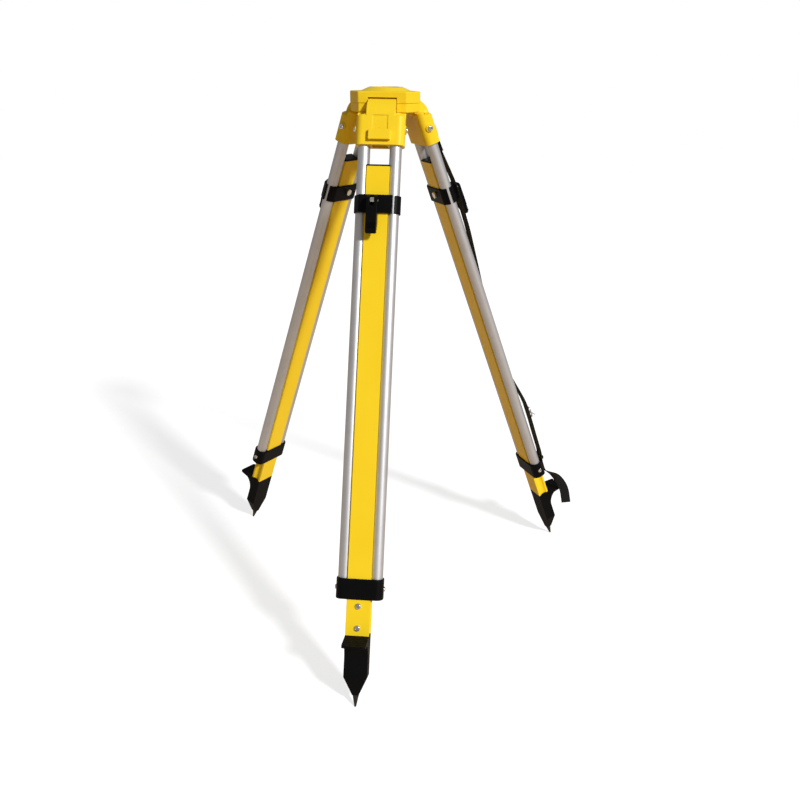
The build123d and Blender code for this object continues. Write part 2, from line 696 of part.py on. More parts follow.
with BuildPart() as lever_pin:
    with Locations(Location((clamp_bolt_shift, lever_pin_y, -clamp_bolt_level), ALONG_X)):
        Cylinder(lever_pin_radius, lever_width + 2 * lever_pin_stand)
    chamfer(lever_pin.faces().filter_by(Axis.X).edges(), lever_pin_break)
save_on_legs(lever_pin.part, "lever_pin")

# Clamp lever: two cam cheeks astride the eye and a hollow handle hanging down the leg
handle_back = clamp_face + lever_cam_gap + lever_back_rise
handle_face = handle_back + lever_tip_lift + lever_thickness
handle_end = -clamp_bolt_level - lever_length
with BuildPart() as clamp_lever:
    with BuildSketch(Plane.YZ.offset(clamp_bolt_shift)):
        with BuildLine():
            back = Polyline(
                (handle_back, -clamp_bolt_level),
                (handle_back, handle_end + lever_tip_length),
                (handle_back + lever_tip_lift, handle_end),
                (handle_face - lever_tip_bevel, handle_end),
                (handle_face, handle_end + 2 * lever_tip_bevel),
            )
            grip = Line(back @ 1, (handle_face, handle_end + lever_tip_length))
            Polyline(
                grip @ 1,
                (lever_pin_y + lever_cam_radius - lever_cam_offset, -clamp_bolt_level),
                back @ 0,
            )
        make_face()
        with Locations((lever_pin_y - lever_cam_offset, -clamp_bolt_level)):
            Circle(lever_cam_radius)
        for groove in range(lever_grooves):
            with Locations(grip @ ((groove + 1) / (lever_grooves + 1))):
                Circle(lever_groove_radius, mode=Mode.SUBTRACT)
    extrude(amount=lever_width / 2, both=True)
    fillet(clamp_lever.faces().sort_by(Axis.Z)[0].edges().filter_by(Axis.Y), lever_corner)
    hollow_top = -clamp_bolt_level - lever_cam_radius - lever_fork_top_gap - lever_wall
    hollow_bottom = handle_end + lever_tip_length / 2
    with Locations((clamp_bolt_shift, handle_face - 2 * lever_wall, (hollow_top + hollow_bottom) / 2)):
        Box(lever_width - 2 * lever_wall, 2 * (handle_face - handle_back), hollow_top - hollow_bottom,
            align=(Align.CENTER, Align.MAX, Align.CENTER), mode=Mode.SUBTRACT)
    with Locations((clamp_bolt_shift, lever_pin_y, -clamp_bolt_level)):
        Box(eye_width + 2 * lever_fork_gap, 4 * lever_cam_radius,
            2 * (lever_cam_radius + lever_fork_top_gap), mode=Mode.SUBTRACT)
    with Locations(Location((clamp_bolt_shift, lever_pin_y, -clamp_bolt_level), ALONG_X)):
        Cylinder(lever_pin_radius + pin_clearance, 2 * lever_width, mode=Mode.SUBTRACT)
save_on_legs(clamp_lever.part, "clamp_lever")

# Foot shoe: a cast point with a tread to step on, plugged into the profile
foot_half = profile_depth / 2
taper_start = inner_bottom + foot_straight
nose_end = taper_start + foot_taper
nose_half = foot_nose_width / 2
with BuildPart() as foot_shoe:
    with BuildSketch(Plane.YZ):
        with BuildLine():
            tread = Polyline(
                (-foot_half, -inner_bottom),
                (foot_half, -inner_bottom),
                (tread_reach, -inner_bottom - tread_slope),
                (tread_reach, -inner_bottom - tread_slope - tread_thickness),
                (tread_root, -inner_bottom - tread_root_level),
            )
            curve = TangentArc(
                (foot_flank, -inner_bottom - tread_root_level - tread_curve),
                tread @ 1,
                tangent=(0, 1),
            )
            Polyline(
                curve @ 0,
                (foot_flank, -taper_start),
                (foot_tip_shift + nose_half, -nose_end),
                (foot_tip_shift - nose_half, -nose_end),
                (-foot_half, -taper_start),
                tread @ 0,
            )
        make_face()
        for groove in range(tread_grooves):
            share = (groove + 1) * tread_groove_pitch / (tread_reach - foot_half)
            with Locations((tread_reach - share * (tread_reach - foot_half),
                            -inner_bottom - (1 - share) * tread_slope)):
                Circle(tread_groove_radius, mode=Mode.SUBTRACT)
    extrude(amount=profile_width / 2, both=True)
    with BuildSketch(Plane.XZ):
        with BuildLine():
            Polyline(
                (-profile_width / 2, -inner_bottom),
                (profile_width / 2, -inner_bottom),
                (profile_width / 2, -taper_start),
                (nose_half, -nose_end),
                (-nose_half, -nose_end),
                (-profile_width / 2, -taper_start),
                close=True,
            )
        make_face()
    extrude(amount=2 * tread_reach, both=True, mode=Mode.INTERSECT)
    fillet(foot_shoe.faces().sort_by(Axis.Y)[-1].edges().filter_by(Axis.Z), tread_corner)
    with BuildSketch(Plane.XY.offset(-inner_bottom)):
        RectangleRounded(bore_width - 2 * plug_clearance, bore_depth - 2 * plug_clearance,
                         profile_bore_corner)
    extrude(amount=foot_spigot)
    for level in foot_screw_levels:
        with Locations(Location((0, profile_depth / 2, -level), ALONG_Y)):
            Cylinder(foot_screw_radius, 2 * foot_screw_bite, mode=Mode.SUBTRACT)
    with Locations((0, foot_tip_shift, -nose_end)):
        Cylinder(spike_shank_radius, 2 * spike_shank_length, mode=Mode.SUBTRACT)
save_on_legs(foot_shoe.part, "foot_shoe")

with BuildPart() as foot_spike:
    with BuildSketch(Plane.XZ.offset(-foot_tip_shift)):
        with BuildLine():
            Polyline(
                (0, -nose_end + spike_shank_length),
                (spike_shank_radius, -nose_end + spike_shank_length),
                (spike_shank_radius, -nose_end),
                (nose_half, -nose_end),
                (spike_tip_radius, -nose_end - spike_length),
                (0, -nose_end - spike_length),
                close=True,
            )
        make_face()
    revolve(axis=Axis((0, foot_tip_shift, 0), (0, 0, 1)))
save_on_legs(foot_spike.part, "foot_spike")

with BuildPart() as foot_screws:
    for level in foot_screw_levels:
        out = Plane(origin=(0, profile_depth / 2, -level), z_dir=(0, 1, 0))
        with BuildSketch(out):
            Circle(foot_screw_head_radius)
        extrude(amount=foot_screw_head_height)
        with BuildSketch(out):
            Circle(foot_screw_radius)
        extrude(amount=-foot_screw_bite)
    fillet(foot_screws.faces().filter_by(Axis.Y).sort_by(Axis.Y)[-2:].edges(), foot_screw_dome)
    for level in foot_screw_levels:
        hex_socket((0, profile_depth / 2 + foot_screw_head_height, -level), (0, 1, 0),
                   foot_screw_socket_radius, foot_screw_socket_depth)
save_on_legs(foot_screws.part, "foot_screws")

# Carrying strap: route in the right leg's frame, as (sideways, outwards, down the leg)
slot_middle = bracket_half_depth + strap_slot_depth / 2
on_clamp = clamp_face + strap_clearance + strap_thickness / 2
on_profile = profile_depth / 2 + strap_clearance + strap_thickness / 2
on_collar = collar_depth / 2 + strap_clearance + strap_thickness / 2
lever_side = clamp_bolt_shift + lever_width / 2 + lever_pin_stand
beside_lever = lever_side + strap_width / 2
buckle_half_width = buckle_inner_width / 2 + buckle_wire
buckle_side = lever_side + buckle_lever_gap + buckle_half_width
strap_route = [
    (strap_slot_shift, slot_middle, strap_bar_bottom - strap_bar_height - strap_thickness),
    (strap_slot_shift, slot_middle, strap_bar_bottom + strap_thickness),
    (beside_lever, on_clamp, clamp_top - strap_thickness),
    (beside_lever, on_clamp, clamp_bottom + strap_thickness),
    (24, 18.5, 260),
    (16, 16, 330),
    (6, 14, 400),
    (2, on_profile, 440),
    (2, on_profile, 590),
    (14, 17.5, 632),
    (buckle_side, on_clamp, 664),
    (buckle_side, on_clamp, 716),
    (26, on_clamp, 748),
    (25, 19, 800),
    (23, on_collar, collar_top + collar_edge_round),
    (22, on_collar, collar_top + collar_height),
]
buckle_points = (10, 11)
keeper_points = (13, 14)
# The loose tail, as (sideways, level outwards, straight down) from the collar's lower edge
strap_tail = [(0, 12, 6), (4, 27, 15), (9, 40, 31), (13, 50, 52), (14, 56, 85)]
spread = radians(leg_spread)
tail_start = strap_route[-1]
for aside, level_out, drop in strap_tail:
    strap_route.append((
        tail_start[0] + aside,
        tail_start[1] + level_out * cos(spread) - drop * sin(spread),
        tail_start[2] + level_out * sin(spread) + drop * cos(spread),
    ))
strap_points = [Vector(x, y, -down) for x, y, down in strap_route]
# The tail turns its flat side towards the near side of the leg
tail_twist = [18, 36, 50, 58, 60]
strap_turns = [0] * (len(strap_points) - len(tail_twist)) + tail_twist

with BuildPart() as carry_strap:
    for index, point in enumerate(strap_points):
        before = strap_points[max(index - 1, 0)]
        after = strap_points[min(index + 1, len(strap_points) - 1)]
        turn = radians(strap_turns[index])
        across = Vector(cos(turn), sin(turn), 0)
        along = (after - before).normalized()
        across = (across - along * across.dot(along)).normalized()
        with BuildSketch(Plane(origin=point, x_dir=across, z_dir=along)):
            Rectangle(strap_width, strap_thickness)
    loft(ruled=True)
save(carry_strap.part.moved(leg_location(leg_azimuths["right"])), "carry_strap")


def on_strap(first, last):
    """Middle of a stretch of the strap, with its directions along, across and outwards."""
    along = (strap_points[last] - strap_points[first]).normalized()
    across = (Vector(1, 0, 0) - along * along.X).normalized()
    outward = across.cross(along)
    middle = (strap_points[first] + strap_points[last]) * 0.5
    return middle, along, across, outward


# Buckle: a flat frame with a crossbar that lies on the strap, and its prong standing off.
# A keeper, further down, holds the doubled strap.
middle, along, across, outward = on_strap(*buckle_points)
buckle_seat = middle + outward * (strap_thickness / 2 + strap_clearance)
prong_dir = outward * sin(radians(prong_lift)) + along * cos(radians(prong_lift))
with BuildPart() as strap_buckle:
    with BuildSketch(Plane(origin=buckle_seat, x_dir=across, z_dir=outward)):
        RectangleRounded(2 * buckle_half_width, buckle_height, 2 * buckle_wire)
        RectangleRounded(buckle_inner_width, buckle_height - 2 * buckle_wire, buckle_wire,
                         mode=Mode.SUBTRACT)
        Rectangle(buckle_inner_width + buckle_wire, buckle_wire)
    extrude(amount=buckle_wire)
    with BuildSketch(Plane(origin=buckle_seat + outward * buckle_wire / 2, z_dir=prong_dir)):
        Circle(prong_radius)
    extrude(amount=prong_length)
    middle, along, across, outward = on_strap(*keeper_points)
    with BuildSketch(Plane(origin=middle, x_dir=across, z_dir=along)):
        Rectangle(strap_width + 2 * (strap_clearance + keeper_wall),
                  strap_thickness + 2 * (strap_clearance + keeper_wall))
        Rectangle(strap_width + 2 * strap_clearance, strap_thickness + 2 * strap_clearance,
                  mode=Mode.SUBTRACT)
    extrude(amount=keeper_length / 2, both=True)
save(strap_buckle.part.moved(leg_location(leg_azimuths["right"])), "strap_buckle")

print("strap length", sum((b - a).length for a, b in zip(strap_points, strap_points[1:])))
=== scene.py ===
# Looks of the construction tripod: a finish for every piece, the woven carrying strap,
# the studio floor and light, and the camera at the photograph's viewing angle.
# Metres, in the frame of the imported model.
import json
import math

import bmesh
import bpy
from mathutils import Matrix, Vector


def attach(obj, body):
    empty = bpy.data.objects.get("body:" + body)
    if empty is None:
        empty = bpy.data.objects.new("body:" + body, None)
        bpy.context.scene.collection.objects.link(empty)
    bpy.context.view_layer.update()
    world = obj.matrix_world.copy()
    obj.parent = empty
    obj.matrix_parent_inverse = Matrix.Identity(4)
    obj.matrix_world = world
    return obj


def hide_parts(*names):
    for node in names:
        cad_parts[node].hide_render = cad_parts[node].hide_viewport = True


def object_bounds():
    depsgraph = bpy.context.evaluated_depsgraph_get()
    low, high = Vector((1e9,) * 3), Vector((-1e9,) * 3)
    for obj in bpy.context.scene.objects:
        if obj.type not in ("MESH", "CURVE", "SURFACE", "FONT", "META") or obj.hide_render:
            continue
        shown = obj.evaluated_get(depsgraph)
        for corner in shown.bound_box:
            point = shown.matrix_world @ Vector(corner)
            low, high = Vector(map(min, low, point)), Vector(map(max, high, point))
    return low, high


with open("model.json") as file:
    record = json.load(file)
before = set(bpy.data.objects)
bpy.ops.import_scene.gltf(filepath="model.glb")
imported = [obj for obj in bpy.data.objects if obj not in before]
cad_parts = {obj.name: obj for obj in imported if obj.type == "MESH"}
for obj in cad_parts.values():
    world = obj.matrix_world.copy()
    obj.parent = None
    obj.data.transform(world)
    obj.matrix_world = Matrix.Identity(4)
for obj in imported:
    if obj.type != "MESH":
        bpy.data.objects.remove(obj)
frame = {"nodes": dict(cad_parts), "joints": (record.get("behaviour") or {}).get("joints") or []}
cad_low, cad_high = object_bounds()

MM = 0.001
LEGS = ("front", "right", "left")
LEG_OFFSET = 12 * MM          # hinge pin to the middle plane of a leg
joints = {joint["name"]: joint for joint in frame["joints"]}


def leg_frame(leg):
    """The leg's own frame: x along the hinge pin, y outwards, z up the leg."""
    across = Vector(joints[f"{leg}_leg_hinge"]["axis"])
    up = -Vector(joints[f"{leg}_leg_slide"]["axis"])
    out = up.cross(across)
    origin = Vector(joints[f"{leg}_leg_hinge"]["pos_m"]) + LEG_OFFSET * out
    turn = Matrix((across, out, up)).transposed()
    return Matrix.Translation(origin) @ turn.to_4x4()


def srgb(red, green, blue):
    """A colour as the eye reads it, 0 to 255, turned into the linear values of a shader."""
    def linear(level):
        level = level / 255
        return level / 12.92 if level <= 0.04045 else ((level + 0.055) / 1.055) ** 2.4
    return linear(red), linear(green), linear(blue), 1.0


# Shader maths

FLAT_AGREEMENT = 0.995        # of the rounded normal with the face, where an edge begins
EDGE_AGREEMENT = 0.86         # and in the middle of the edge


class Value:
    """A socket of a material, on which arithmetic adds Math nodes."""

    def __init__(self, finish, socket):
        self.finish = finish
        self.socket = socket

    def __add__(self, other):
        return self.finish.math("ADD", self, other)

    def __radd__(self, other):
        return self.finish.math("ADD", other, self)

    def __sub__(self, other):
        return self.finish.math("SUBTRACT", self, other)

    def __rsub__(self, other):
        return self.finish.math("SUBTRACT", other, self)

    def __mul__(self, other):
        return self.finish.math("MULTIPLY", self, other)

    def __rmul__(self, other):
        return self.finish.math("MULTIPLY", other, self)

    def __truediv__(self, other):
        return self.finish.math("DIVIDE", self, other)

    def __rtruediv__(self, other):
        return self.finish.math("DIVIDE", other, self)

    def __gt__(self, other):
        return self.finish.math("GREATER_THAN", self, other)

    def __lt__(self, other):
        return self.finish.math("LESS_THAN", self, other)


class Finish:
    """A material with one Principled shader, whose other nodes are added as they are needed."""

    def __init__(self, name, constants):
        self.material = bpy.data.materials.new(name)
        self.material.use_nodes = True
        self.tree = self.material.node_tree
        self.shader = self.tree.nodes["Principled BSDF"]
        for socket, value in constants.items():
            self.shader.inputs[socket].default_value = value

    def node(self, kind, settings=None, sockets=None, output=0):
        """Adds a node: its settings are set first, then the values or links of its sockets."""
        node = self.tree.nodes.new(kind)
        for name, value in (settings or {}).items():
            setattr(node, name, value)
        for key, value in (sockets or {}).items():
            self.put(node.inputs[key], value)
        return Value(self, node.outputs[output])

    def put(self, socket, value):
        if isinstance(value, Value):
            self.tree.links.new(value.socket, socket)
        else:
            socket.default_value = value

    def feed(self, socket, value):
        """Links what varies over the surface to a socket of the shader."""
        self.put(self.shader.inputs[socket], value)

    def math(self, operation, *values):
        return self.node("ShaderNodeMath", {"operation": operation}, dict(enumerate(values)))

    def between(self, value, low, high):
        """0 at low, 1 at high, and straight in between."""
        return self.node("ShaderNodeMapRange", None,
                         {"Value": value, "From Min": low, "From Max": high})

    def colour(self, share, first, second):
        """The first colour where share is 0, the second where it is 1."""
        return self.node("ShaderNodeMix", {"data_type": "RGBA"}, {0: share, 6: first, 7: second}, 2)

    def place(self):
        """The point on the piece, in metres."""
        return self.node("ShaderNodeTexCoord", output="Object")

    def reach(self, place, direction):
        """How far a point lies along a direction."""
        return self.node("ShaderNodeVectorMath", {"operation": "DOT_PRODUCT"},
                         {0: place, 1: tuple(direction)}, "Value")

    def drawn_along(self, place, leg, fine, coarse):
        """The point in a leg's own directions: fine across the leg, coarse along it."""
        across, out, up = (leg_frame(leg).col[axis].xyz for axis in range(3))
        return self.node("ShaderNodeCombineXYZ", None, {
            "X": self.reach(place, across) * fine,
            "Y": self.reach(place, out) * fine,
            "Z": self.reach(place, up) * coarse,
        })

    def noise(self, place, scale, detail=2.0, roughness=0.5):
        return self.node("ShaderNodeTexNoise", None,
                         {"Vector": place, "Scale": scale, "Detail": detail, "Roughness": roughness})

    def soft_edges(self, radius):
        """The surface normal with every sharp edge rounded to this radius."""
        return self.node("ShaderNodeBevel", {"samples": 6}, {"Radius": radius})

    def edge_mask(self, rounded):
        """1 along the edges that soft_edges rounds, 0 on flat faces."""
        normal = self.node("ShaderNodeNewGeometry", output="Normal")
        agree = self.node("ShaderNodeVectorMath", {"operation": "DOT_PRODUCT"},
                          {0: rounded, 1: normal}, "Value")
        return self.between(agree, FLAT_AGREEMENT, EDGE_AGREEMENT)

    def relief(self, height, depth, normal=None, strength=1.0):
        """Feeds the shader's normal with a height that varies over the surface."""
        sockets = {"Height": height, "Distance": depth, "Strength": strength}
        if normal:
            sockets["Normal"] = normal
        self.feed("Normal", self.node("ShaderNodeBump", None, sockets))


# Finishes

SIGNAL_YELLOW = srgb(246, 213, 42)
DEEP_YELLOW = srgb(240, 202, 30)
BARE_ALLOY = srgb(176, 170, 158)
PLATE_CLOUD = 320             # scale of the cloudiness in plated steel
PLATE_DULLING = 0.8           # of the tint, in the dull clouds
PLATE_EDGE = 0.4 * MM
KEEPER_LEVEL = -760 * MM      # along the right leg, between the buckle and its keeper
THREAD_PITCH = 25.4 / 11 * MM
THREAD_START = -30 * MM       # the screw is a plain shank below it
THREAD_DEPTH = 0.5 * MM
THREAD_RIM = 0.2              # of the groove's wave, where the painted shade of the valley begins
THREAD_FLOOR = -1.0
# how dark the painted shade in the thread's valleys is
THREAD_SHADE = 0.6


def casting_paint():
    """Thick yellow powder coat on the head and brackets, thin along the edges."""
    finish = Finish("casting_paint", {"Specular IOR Level": 0.18})
    edge_radius = 0.9 * MM
    peel_depth = 0.12 * MM
    chip_level = 0.6
    chip_share = 0.55
    place = finish.place()
    rounded = finish.soft_edges(edge_radius)
    cloud = finish.noise(place, scale=35, detail=3)
    peel = finish.noise(place, scale=900, detail=2)
    flaked = finish.noise(place, scale=260, detail=4, roughness=0.7) > chip_level
    chips = finish.edge_mask(rounded) * flaked
    yellow = finish.colour(cloud, DEEP_YELLOW, SIGNAL_YELLOW)
    finish.feed("Base Color", finish.colour(chips * chip_share, yellow, BARE_ALLOY))
    finish.feed("Roughness", 0.34 + 0.14 * cloud)
    finish.relief(peel, peel_depth, rounded, strength=0.5)
    return finish.material


def profile_paint(leg):
    """Smooth yellow coat on the extruded profile, with faint lines along its length."""
    finish = Finish(f"{leg}_profile_paint", {"Specular IOR Level": 0.14})
    edge_radius = 0.6 * MM
    line_depth = 0.05 * MM
    scuff_level = 0.74
    scuffed_spots = 0.52
    scuff_share = 0.18
    place = finish.place()
    drawn = finish.drawn_along(place, leg, fine=700, coarse=4)
    lines = finish.noise(drawn, scale=1.0, detail=3)
    cloud = finish.noise(place, scale=14, detail=3)
    rounded = finish.soft_edges(edge_radius)
    scuffs = ((finish.noise(drawn, scale=2.3, detail=4, roughness=0.65) > scuff_level)
              * (finish.noise(place, scale=60, detail=2) > scuffed_spots))
    yellow = finish.colour(cloud, DEEP_YELLOW, SIGNAL_YELLOW)
    finish.feed("Base Color", finish.colour(scuffs * scuff_share, yellow, BARE_ALLOY))
    finish.feed("Roughness", 0.27 + 0.12 * lines)
    finish.relief(lines, line_depth, rounded, strength=0.4)
    return finish.material


def tube_satin(leg):
    """Satin anodised tube: drawn lines along the length and a few rubbed marks."""
    finish = Finish(f"{leg}_tube_satin", {"Metallic": 0.85})
    line_depth = 0.03 * MM
    place = finish.place()
    lines = finish.noise(finish.drawn_along(place, leg, fine=1500, coarse=3), scale=1.0, detail=3)
    rubbed = finish.noise(place, scale=22, detail=4, roughness=0.6)
    finish.feed("Base Color", finish.colour(rubbed, srgb(184, 184, 187), srgb(206, 206, 208)))
    finish.feed("Roughness", 0.42 + 0.14 * lines + 0.06 * rubbed)
    finish.relief(lines, line_depth, strength=0.35)
    return finish.material


def moulded_black(name, roughness, grain):
    """Black glass-filled plastic with a fine spark-eroded grain."""
    finish = Finish(name, {"Specular IOR Level": 0.07})
    edge_radius = 0.8 * MM
    grain_depth = 0.06 * MM
    rubbed_share = 0.3
    place = finish.place()
    rounded = finish.soft_edges(edge_radius)
    fine = finish.noise(place, scale=grain, detail=2)
    cloud = finish.noise(place, scale=40, detail=3)
    rubbed = finish.edge_mask(rounded) * finish.noise(place, scale=150, detail=3)
    black = finish.colour(cloud, srgb(4, 4, 5), srgb(9, 9, 10))
    finish.feed("Base Color", finish.colour(rubbed * rubbed_share, black, srgb(46, 46, 48)))
    finish.feed("Roughness", roughness + 0.12 * cloud)
    finish.relief(fine, grain_depth, rounded, strength=0.5)
    return finish.material


def zinc_plate(name, roughness, tint):
    """Bright plated steel with a little cloudiness."""
    finish = Finish(name, {"Metallic": 1.0})
    cloud = finish.noise(finish.place(), scale=PLATE_CLOUD, detail=3)
    dull = tuple(PLATE_DULLING * level for level in tint[:3]) + (1.0,)
    finish.feed("Base Color", finish.colour(cloud, dull, tint))
    finish.feed("Roughness", roughness + 0.14 * cloud)
    finish.feed("Normal", finish.soft_edges(PLATE_EDGE))
    return finish.material


def buckle_metal():
    """Plated buckle, and further down the leg the black keeper that belongs to it."""
    finish = Finish("buckle_metal", {"Specular IOR Level": 0.3})
    leg = leg_frame("right")
    up = leg.col[2].xyz
    place = finish.place()
    level = finish.reach(place, up) - leg.translation.dot(up)
    metal = level > KEEPER_LEVEL
    cloud = finish.noise(place, scale=PLATE_CLOUD, detail=3)
    zinc = finish.colour(cloud, srgb(186, 186, 182), srgb(220, 220, 216))
    finish.feed("Base Color", finish.colour(metal, srgb(10, 10, 11), zinc))
    finish.feed("Metallic", metal)
    finish.feed("Roughness", 0.2 + 0.14 * cloud)
    finish.feed("Normal", finish.soft_edges(PLATE_EDGE))
    return finish.material


def threaded_zinc():
    """Plated fixing screw with its 5/8 inch thread, above the plain shank, with painted shade in the
    thread's valleys.
    """
    finish = Finish("threaded_zinc", {"Metallic": 1.0})
    place = finish.place()
    x, y, z = (finish.reach(place, axis) for axis in Matrix.Identity(3))
    turn = finish.math("ARCTAN2", y, x) / math.tau
    groove = finish.math("SINE", (z / THREAD_PITCH - turn) * math.tau) * (z > THREAD_START)
    cloud = finish.noise(place, scale=PLATE_CLOUD, detail=3)
    # painted shade: the thread's valleys are darkened towards a dark grey in the colour
    painted_valley_shade = finish.between(groove, THREAD_RIM, THREAD_FLOOR)
    zinc = finish.colour(cloud, srgb(178, 178, 174), srgb(214, 214, 210))
    finish.feed("Base Color", finish.colour(painted_valley_shade * THREAD_SHADE, zinc, srgb(70, 68, 64)))
    finish.feed("Roughness", 0.2 + 0.14 * cloud)
    finish.relief(groove, THREAD_DEPTH)
    return finish.material


def webbing_weave():
    """Black ribbed webbing, with painted shade in the hollows of its weave: u runs across the strap and
    v along it, in metres.
    """
    finish = Finish("webbing_weave", {"Specular IOR Level": 0.15, "Sheen Weight": 0.1})
    spot = finish.node("ShaderNodeUVMap", {"uv_map": "UVMap"})
    across = finish.reach(spot, (1, 0, 0))
    along = finish.reach(spot, (0, 1, 0))
    rib_pitch = 1.3 * MM
    yarn_pitch = 2.0 * MM
    weave_depth = 0.25 * MM
    rib_share = 0.6
    yarn_share = 0.4
    weave_share = 0.7
    fuzz_share = 0.3
    ribs = finish.math("SINE", along * (math.tau / rib_pitch))
    yarns = finish.math("SINE", across * (math.tau / yarn_pitch))
    weave = ribs * rib_share + ribs * yarns * yarn_share
    fuzz = finish.noise(finish.place(), scale=1800, detail=2)
    # painted shade and highlight: darker in the hollows of the weave and lighter on its ribs, with the
    # fuzz a random tone of the yarn
    painted_weave_shade_and_fuzz = finish.between(weave + fuzz, -0.6, 1.6)
    finish.feed("Base Color", finish.colour(painted_weave_shade_and_fuzz, srgb(6, 6, 7), srgb(26, 26, 28)))
    finish.feed("Roughness", 0.72 + 0.15 * fuzz)
    finish.relief(weave * weave_share + fuzz * fuzz_share, weave_depth, strength=0.7)
    return finish.material


def sewing_thread():
    """Waxed black thread, a little lighter than the webbing."""
    finish = Finish("sewing_thread", {"Roughness": 0.6, "Specular IOR Level": 0.3})
    fibres = finish.noise(finish.place(), scale=2500)
    finish.feed("Base Color", finish.colour(fibres, srgb(30, 30, 31), srgb(52, 52, 54)))
    return finish.material


CASTING = casting_paint()
PLASTIC = moulded_black("clamp_plastic", 0.4, 1500)
LEVER_PLASTIC = moulded_black("lever_plastic", 0.34, 1700)
FOOT_CASTING = moulded_black("foot_casting", 0.5, 700)
SCREW_ZINC = zinc_plate("screw_zinc", 0.16, srgb(214, 214, 210))
ARM_ZINC = zinc_plate("arm_zinc", 0.3, srgb(190, 190, 186))
SPIKE_STEEL = zinc_plate("spike_steel", 0.42, srgb(66, 64, 62))
BUCKLE_METAL = buckle_metal()
THREADED_ZINC = threaded_zinc()
WEBBING = webbing_weave()
THREAD = sewing_thread()

HEAD_FINISHES = {
    "head_plate": CASTING,
    "lower_plate": CASTING,
    "hinge_pins": SCREW_ZINC,
    "head_screws": SCREW_ZINC,
    "screw_arm": ARM_ZINC,
    "arm_pivot": SCREW_ZINC,
    "screw_slider": ARM_ZINC,
    "retaining_washer": SCREW_ZINC,
    "fixing_screw": THREADED_ZINC,
    "screw_knob": LEVER_PLASTIC,
    "strap_buckle": BUCKLE_METAL,
}
LEG_FINISHES = {
    "hinge_bracket": CASTING,
    "bracket_bolts": SCREW_ZINC,
    "lower_collar": PLASTIC,
    "collar_screws": SCREW_ZINC,
    "end_cap": PLASTIC,
    "clamp_outer_plate": PLASTIC,
    "clamp_inner_plate": PLASTIC,
    "clamp_bolt": SCREW_ZINC,
    "lever_pin": SCREW_ZINC,
    "clamp_lever": LEVER_PLASTIC,
    "foot_shoe": FOOT_CASTING,
    "foot_spike": SPIKE_STEEL,
    "foot_screws": SCREW_ZINC,
}


def paint(node, material):
    """Gives every material slot of a CAD node this finish."""
    for slot in frame["nodes"][node].material_slots:
        slot.material = material


for node_name, node_finish in HEAD_FINISHES.items():
    paint(node_name, node_finish)
for leg_name in LEGS:
    for piece_name, piece_finish in LEG_FINISHES.items():
        paint(f"{leg_name}_{piece_name}", piece_finish)
    satin = tube_satin(leg_name)
    paint(f"{leg_name}_tube_a", satin)
    paint(f"{leg_name}_tube_b", satin)
    paint(f"{leg_name}_inner_leg", profile_paint(leg_name))


# Carrying strap

STRAP_WIDTH = 20 * MM
STRAP_THICKNESS = 1.9 * MM
STRAP_BEND = 14 * MM          # how far from a corner of the route its bend starts
STRAP_STEP = 2.5 * MM         # between points along the route
STRAP_BEND_STEPS = 3          # in the shortest bend
STRAP_EDGE_LOSS = 0.45        # how much of the thickness the woven edge loses
STRAP_EDGE_POWER = 8
STRAP_COLUMNS = (-1, -0.93, -0.8, -0.4, 0, 0.4, 0.8, 0.93, 1)
# In the right leg's frame, in millimetres and degrees: sideways, outwards, down the leg, twist.
# It starts with the end that is folded over the bracket's bar and sewn down.
STRAP_ROUTE = [
    (12, 19.9, 106, 0),
    (6, 20.6, 80, 0),
    (4, 23.4, 71.5, 0),
    (4, 23.4, 53.6, 0),
    (4, 17, 53.6, 0),
    (4, 17, 75, 0),
    (25.25, 19.4, 165.5, 0),
    (25.25, 19.4, 200.5, 0),
    (24, 18.5, 260, 0),
    (16, 16, 330, 0),
    (6, 14, 400, 0),
    (2, 12.9, 440, 0),
    (2, 12.9, 590, 0),
    (14, 17.5, 632, 0),
    (28.55, 19.4, 664, 0),
    (28.55, 19.4, 716, 0),
    (26, 19.4, 748, 0),
    (25, 19, 800, 0),
    (23, 15.9, 816.2, 0),
    (22, 15.9, 849, 0),
    (22, 25.1, 858.8, 18),
    (26, 36.0, 872.5, 36),
    (31, 42.6, 892.0, 50),
    (35, 44.6, 915.2, 58),
    (36, 38.8, 948.2, 60),
]


def soft_bends(corners, bend, step):
    """Points along a line that runs straight between its corners and turns softly at them."""
    line = [corners[0]]

    def run_to(end):
        start = line[-1]
        count = max(1, round((end - start).length / step))
        line.extend(start.lerp(end, (i + 1) / count) for i in range(count))

    for before, corner, after in zip(corners, corners[1:], corners[2:]):
        entry = corner + (before - corner) * min(0.5, bend / (before - corner).length)
        leave = corner + (after - corner) * min(0.5, bend / (after - corner).length)
        run_to(entry)
        count = max(STRAP_BEND_STEPS, round(((corner - entry).length + (leave - corner).length) / step))
        for i in range(count):
            share = (i + 1) / count
            line.append(entry.lerp(corner, share).lerp(corner.lerp(leave, share), share))
    run_to(corners[-1])
    return line


class Strap:
    """The strap's middle line, with its directions across and outwards at every point."""

    def __init__(self, route):
        # The twist goes along as a fourth coordinate, so that it turns softly too
        corners = [Vector((x * MM, out * MM, -down * MM, math.radians(twist) * MM))
                   for x, out, down, twist in route]
        bent = soft_bends(corners, STRAP_BEND, STRAP_STEP)
        self.points = [point.xyz for point in bent]
        self.lengths = [0.0]
        for start, end in zip(self.points, self.points[1:]):
            self.lengths.append(self.lengths[-1] + (end - start).length)
        self.across = []
        self.outward = []
        for index, point in enumerate(bent):
            ahead = self.points[min(index + 1, len(bent) - 1)]
            behind = self.points[max(index - 1, 0)]
            along = (ahead - behind).normalized()
            twist = point.w / MM
            level = Vector((math.cos(twist), math.sin(twist), 0))
            across = (level - along * level.dot(along)).normalized()
            self.across.append(across)
            self.outward.append(across.cross(along))

    def spot(self, length, aside, lift):
        """A point at this length from the sewn end, aside of the middle and above the face."""
        index = next(i for i, so_far in enumerate(self.lengths) if so_far >= length)
        return self.points[index] + self.across[index] * aside - self.outward[index] * lift


